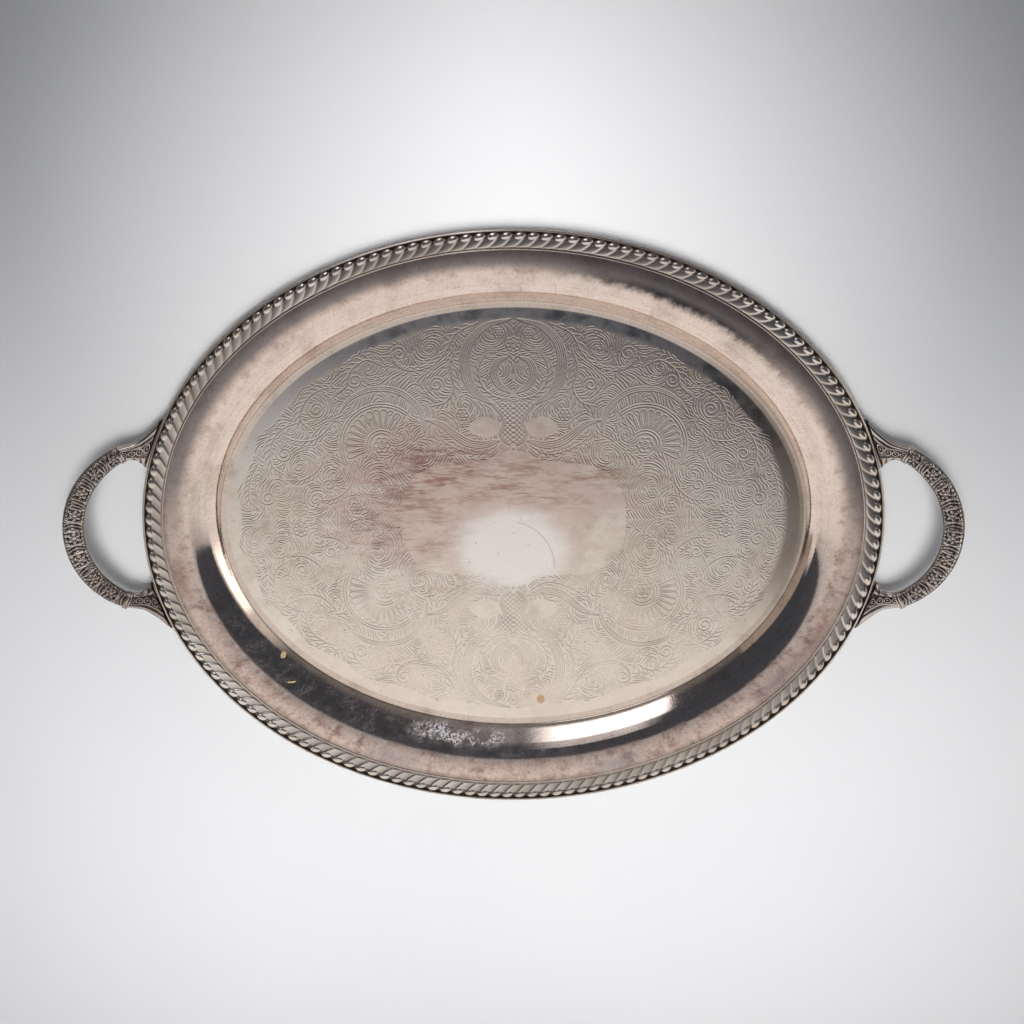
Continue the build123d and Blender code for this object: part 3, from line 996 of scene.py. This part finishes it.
# Streaks of tarnish over the centre: x, y, half length, half width, colour and strength
RUST = [
    (-0.055, 0.034, 0.060, 0.026, (0.33, 0.13, 0.12), 0.85),
    (0.035, 0.030, 0.060, 0.022, (0.36, 0.20, 0.13), 0.75),
    (-0.085, -0.008, 0.045, 0.030, (0.36, 0.19, 0.17), 0.75),
]


def centre_stains(n, f, look):
    """Red and brown tarnish in streaks over the centre, round a patch rubbed bright."""
    brush = n.noise(n.join(n.times(f.x, 0.16), f.y, f.z), 420.0, 6.0, 0.7)
    ragged = n.times(n.minus(f.rust, 0.5), 2.6)
    haze = spot(n, f, -0.030, 0.018, 0.115, 0.058, ragged)
    look.tint(n.times(haze, f.well), (0.70, 0.51, 0.455), 0.60)
    streaks = n.times(n.fade(f.rust, 0.40, 0.60), n.fade(brush, 0.40, 0.58))
    for x, y, rx, ry, tone, strength in RUST:
        look.tint(n.times(spot(n, f, x, y, rx, ry, ragged), streaks), tone, strength)
    rubbed = spot(n, f, 0.0, -0.024, 0.040, 0.030, n.times(ragged, 0.35))
    look.tint(rubbed, (0.97, 0.93, 0.875), 0.85)
    look.roughness = n.lerp(n.times(rubbed, 0.6), look.roughness, 0.16)


def small_marks(n, f, look):
    """A curved scratch, an orange spot near the edge, and dark bits over the whole well."""
    dx, dy = n.plus(f.x, 0.005), n.plus(f.y, 0.038)
    part = n.times(n.fade(dx, 0.006, 0.012), n.fade(dy, -0.004, 0.002))
    look.tint(n.times(n.band(n.length(dx, dy), 0.0355, 0.0364, 0.0004), part), (0.56, 0.47, 0.40), 0.55)
    look.tint(spot(n, f, 0.021, -0.1445, 0.0030, 0.0036), (0.62, 0.36, 0.14), 0.75)
    bits = n.times(n.fade(n.noise(f.place, 300.0, 3.0, 0.6), 0.66, 0.74), f.well)
    look.tint(bits, (0.30, 0.24, 0.20), 0.6)


def flange_film_and_glints(n, f, look):
    """Thin dirt on the polished flange, smudges and a mottled patch, and two painted golden glints. Returns
    the cover of both.
    """
    side = n.times(n.band(f.around, -2.75, -1.35, 0.20), n.band(f.edge, 0.0340, 0.0530, 0.0040))
    smears = n.times(n.fade(f.streak, 0.44, 0.66), n.fade(f.hair, 0.36, 0.62))
    flecks = n.times(n.fade(n.noise(f.place, 620.0, 4.0, 0.7), 0.38, 0.60), n.fade(f.cloud, 0.36, 0.56))
    patch = n.times(n.band(f.around, -1.93, -1.62, 0.10), n.band(f.edge, 0.0400, 0.0520, 0.0035))
    film_and_glints = n.larger(n.times(side, smears, 0.13), n.times(patch, flecks, 0.85))
    look.tint(film_and_glints, (0.62, 0.64, 0.70))
    look.roughness = n.larger(look.roughness, n.times(film_and_glints, 0.6))
    # two painted golden glints on the lower left flange, one along a scratch
    for x, y, rx, ry in ((-0.1757, -0.1063, 0.0020, 0.0022), (-0.1690, -0.1255, 0.0036, 0.0006)):
        painted_glint = spot(n, f, x, y, rx, ry)
        look.tint(painted_glint, (0.85, 0.62, 0.25), 0.9)
        film_and_glints = n.larger(film_and_glints, n.times(painted_glint, 0.8))
    return film_and_glints


def pan_zones(n, place, look):
    """All zones of the sheet in the order they lie on it; the underside keeps its plain metal."""
    f = pan_fields(n, place)
    plain, plain_rough = look.colour, look.roughness
    for zone in (flange_base, flange_lines, flange_dark_reflection, mottling, well_tone, centre_stains, small_marks):
        zone(n, f, look)
    # cover of the dirt film and the painted glints, where the sheet stops being metal
    film_and_glints = flange_film_and_glints(n, f, look)
    lines = n.times(n.attribute("wear"), n.plus(n.times(n.fade(f.cloud, 0.40, 0.60), 0.75), 0.15))
    look.tint(lines, (0.42, 0.38, 0.33), 0.5)
    front = n.below(f.inset, FAR_MARK - 0.05, FAR_MARK - 0.02)
    look.colour = n.mix(front, n.mix(0.5, plain, (0.62, 0.54, 0.47, 1)), look.colour)
    look.roughness = n.lerp(front, n.plus(plain_rough, 0.10), look.roughness)
    look.metal = n.flip(n.times(film_and_glints, front))


# ---- pieces ----
pan_silver = silver(
    "pan_silver", (0.90, 0.83, 0.76), (0.80, 0.70, 0.61), (0.4, 0.36, 0.31), 0.16, 0.0, 0.3, pan_zones
)
border_silver = silver(
    "border_silver", (0.88, 0.80, 0.72), (0.66, 0.57, 0.49), (0.08, 0.062, 0.05), 0.19, worn_rough=0.3
)
wire_silver = silver("wire_silver", (0.82, 0.75, 0.68), (0.62, 0.52, 0.44), (0.16, 0.12, 0.10), 0.2)
grip_silver = silver("grip_silver", (0.74, 0.66, 0.60), (0.42, 0.34, 0.30), (0.060, 0.048, 0.044), 0.09)
solder = silver("solder", (0.42, 0.42, 0.43), (0.34, 0.33, 0.33), (0.2, 0.2, 0.2), 0.55, 0.9)


def finish_piece(obj, node, material):
    """Give a piece its material and let it stand for a node of the frame."""
    obj.data.materials.append(material)
    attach(obj, "root")
    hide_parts(node)


finish_piece(make_pan(), "well_pan", pan_silver)
for k in range(BORDER_LENGTHS):
    finish_piece(make_border(k), f"border_length_{k + 1}", border_silver)
    finish_piece(make_filling(k), f"border_filling_{k + 1}", solder)
finish_piece(make_edge_ring(), "edge_wire", wire_silver)
finish_piece(make_thread_ring(), "inner_thread_wire", wire_silver)
for left, side in ((True, "left"), (False, "right")):
    for front, face in ((True, "front"), (False, "back")):
        grip = make_grip(f"bar_{face}_{side}", front, left)
        finish_piece(grip, f"grip_{face}_{side}", grip_silver)
    for lower, end in ((False, "upper"), (True, "lower")):
        leaf = make_leaf(f"acanthus_{side}_{end}", left, lower)
        finish_piece(leaf, f"leaf_{side}_{end}", grip_silver)

# ---- floor and backdrop ----
BACKDROP = (0.58, 0.585, 0.595)
PATCH_MIDDLE = (0.0, -0.04, 0.0)  # middle of the floor that the main camera takes in

bpy.ops.mesh.primitive_plane_add(size=30, location=(0, 0, 0))
floor = bpy.context.object
floor.name = "floor"
paper, n = new_material("paper")
ground = n.add("ShaderNodeTexCoord").outputs["Object"]
tone = n.ramp(n.noise(ground, 3.0, 2.0), (0.3, (0.80, 0.80, 0.81)), (0.7, (0.83, 0.83, 0.835)))
flat = n.add("ShaderNodeBsdfPrincipled", {"Base Color": tone, "Roughness": 0.9})
# further out, the camera sees the paper fade into the backdrop
away = n.add("ShaderNodeVectorMath", {0: ground, 1: PATCH_MIDDLE}, operation="DISTANCE").outputs["Value"]
faded = n.times(n.fade(away, 0.58, 0.80), n.add("ShaderNodeLightPath").outputs["Is Camera Ray"])
glow = n.add("ShaderNodeEmission", {"Color": (*BACKDROP, 1), "Strength": 1.0})
paper_look = n.add("ShaderNodeMixShader", {0: faded, 1: flat.outputs[0], 2: glow.outputs[0]})
n.add("ShaderNodeOutputMaterial", {0: paper_look.outputs[0]})
floor.data.materials.append(paper)

bpy.context.scene.view_settings.view_transform = "Standard"
world = bpy.data.worlds.new("studio")
bpy.context.scene.world = world
world.use_nodes = True
n = Nodes(world.node_tree)
_, y, z = n.split(n.add("ShaderNodeTexCoord").outputs["Generated"])[:3]
# lean goes from 0.25 at the +Y horizon over 0.5 straight up to 0.75 at the -Y horizon
lean = n.plus(n.math("DIVIDE", n.math("ARCTAN2", n.times(y, -1.0), z), 2 * math.pi), 0.5)
studio = n.ramp(
    lean,
    (0.25, (0.26, 0.25, 0.24)),
    (0.285, (0.17, 0.165, 0.16)),
    (0.32, (0.055, 0.06, 0.07)),
    (0.46, (0.045, 0.055, 0.07)),
    (0.53, (0.72, 0.71, 0.70)),
    (0.65, (0.80, 0.79, 0.78)),
    (0.75, (0.88, 0.87, 0.85)),
)
path = n.add("ShaderNodeLightPath").outputs
seen = n.mix(path["Is Camera Ray"], (0.19, 0.194, 0.203, 1), (*BACKDROP, 1))
seen = n.mix(path["Is Glossy Ray"], seen, studio)
background = n.add("ShaderNodeBackground", {"Color": seen, "Strength": 1.0})
n.add("ShaderNodeOutputWorld", {0: background.outputs[0]})


# ---- lights, and cards that only the metal mirrors ----
def soft_light(name, y, size, power, spread):
    """Area light above the table; the metal doesn't mirror it."""
    data = bpy.data.lights.new(name, "AREA")
    data.shape = "RECTANGLE"
    data.size, data.size_y = size
    data.energy = power
    data.spread = math.radians(spread)
    lamp = bpy.data.objects.new(name, data)
    bpy.context.scene.collection.objects.link(lamp)
    lamp.location = (0, y, 1.3)
    lamp.visible_glossy = False
    lamp.visible_camera = False


def card(name, corners, glow):
    """Reflector seen only in the metal; glow gives its colour and cover at each place, in metres."""
    obj = bpy.data.objects.new(name, bpy.data.meshes.new(name))
    obj.data.from_pydata(corners, [], [(0, 1, 2, 3)])
    bpy.context.scene.collection.objects.link(obj)
    material, n = new_material(name)
    colour, cover = glow(n, *n.split(n.add("ShaderNodeNewGeometry").outputs["Position"])[:3])
    light = n.add("ShaderNodeEmission", {"Color": colour, "Strength": 1.0}).outputs[0]
    clear = n.add("ShaderNodeBsdfTransparent").outputs[0]
    mixed = n.add("ShaderNodeMixShader", {0: cover, 1: clear, 2: light}).outputs[0]
    n.add("ShaderNodeOutputMaterial", {0: mixed})
    obj.data.materials.append(material)
    for rays in ("camera", "diffuse", "shadow", "transmission"):
        setattr(obj, f"visible_{rays}", False)


def on_plane(axis, at, low, high, bottom, top):
    """Corners of a card on the plane axis = at, between limits along the other two axes."""
    corners = [(low, bottom), (high, bottom), (high, top), (low, top)]
    return [tuple(np.insert(corner, "xyz".index(axis), at)) for corner in corners]


def ceiling_glow(n, x, y, z):
    """Pale towards -Y and dark beyond an edge that bends towards -Y on both sides."""
    right = n.plus(n.times(n.fade(x, 0.0, 0.35), 0.17), n.times(n.larger(x, 0.0), 0.07))
    left = n.times(n.larger(n.times(x, -1.0), 0.0), 0.17)
    past = n.plus(y, n.plus(right, left))
    colour = n.ramp(
        n.plus(past, 0.5),
        (0.10, (0.84, 0.83, 0.82)),
        (0.30, (0.77, 0.76, 0.75)),
        (0.42, (0.60, 0.595, 0.59)),
        (0.505, (0.42, 0.42, 0.43)),
        (0.535, (0.06, 0.065, 0.08)),
        (1.00, (0.045, 0.055, 0.07)),
    )
    return colour, 1.0


def window_glow(n, x, y, z):
    """Bright window on the +Y side, with a halo above it and a faint spill to its right."""
    bright = n.times(n.fade(x, -0.56, -0.50), n.below(x, -0.17, -0.01), n.below(z, 1.00, 1.15))
    halo = n.times(n.band(x, -0.46, -0.10, 0.08), n.flip(n.times(n.fade(z, 1.1, 2.6), 0.6)), 0.30)
    spill = n.times(n.band(x, -0.10, 0.12, 0.10), n.below(z, 0.7, 1.5), 0.07)
    cover = n.times(n.larger(bright, n.plus(halo, spill)), n.fade(z, 0.24, 0.34))
    return (2.1, 2.15, 2.2, 1), cover


def side_glow(n, x, y, z):
    """Low warm window beyond the right-hand handle, in a dimmer surround."""
    bright = n.times(n.band(y, -0.12, 0.40, 0.12), n.below(z, 0.32, 0.44))
    dim = n.times(n.band(y, -0.15, 0.72, 0.18), n.below(z, 0.38, 0.52), 0.28)
    return (2.0, 1.88, 1.7, 1), n.larger(bright, dim)


def board_glow(n, x, y, z):
    """Low brown board beyond the left-hand handle, with a slanting top edge."""
    over = n.minus(z, n.plus(0.30, n.times(y, 0.17)))
    return (0.34, 0.30, 0.265, 1), n.times(n.below(over, -0.015, 0.015), n.fade(y, -0.28, -0.20))


soft_light("table_far", 0.26, (0.05, 0.3), 0.42, 32)
soft_light("table_near", -0.25, (1.1, 0.7), 2.35, 43)
card("ceiling", on_plane("z", 0.70, -1.6, 1.6, -0.55, 0.30), ceiling_glow)
card("window", on_plane("y", 0.95, -0.60, 0.25, 0.25, 2.4), window_glow)
card("side_window", on_plane("x", 1.0, -0.30, 0.85, 0.0, 0.55), side_glow)
card("board", on_plane("x", -1.0, -0.30, 0.81, 0.0, 0.50), board_glow)

# ---- camera, looking from the +Y side with +Y up in the view ----
VIEW = math.radians(16.0)  # angle from straight above
DISTANCE = 1.465  # from the middle of the tray, at the height of the rim
camera_data = bpy.data.cameras.new("camera")
camera = bpy.data.objects.new("camera", camera_data)
bpy.context.scene.collection.objects.link(camera)
camera_data.sensor_width = 36.0
camera_data.lens = 69.4336
camera_data.shift_x, camera_data.shift_y = -0.0015, 0.0137
camera.location = (0, DISTANCE * math.sin(VIEW), SEAT + DISTANCE * math.cos(VIEW))
camera.rotation_euler = (-VIEW, 0, 0)
bpy.context.scene.camera = camera
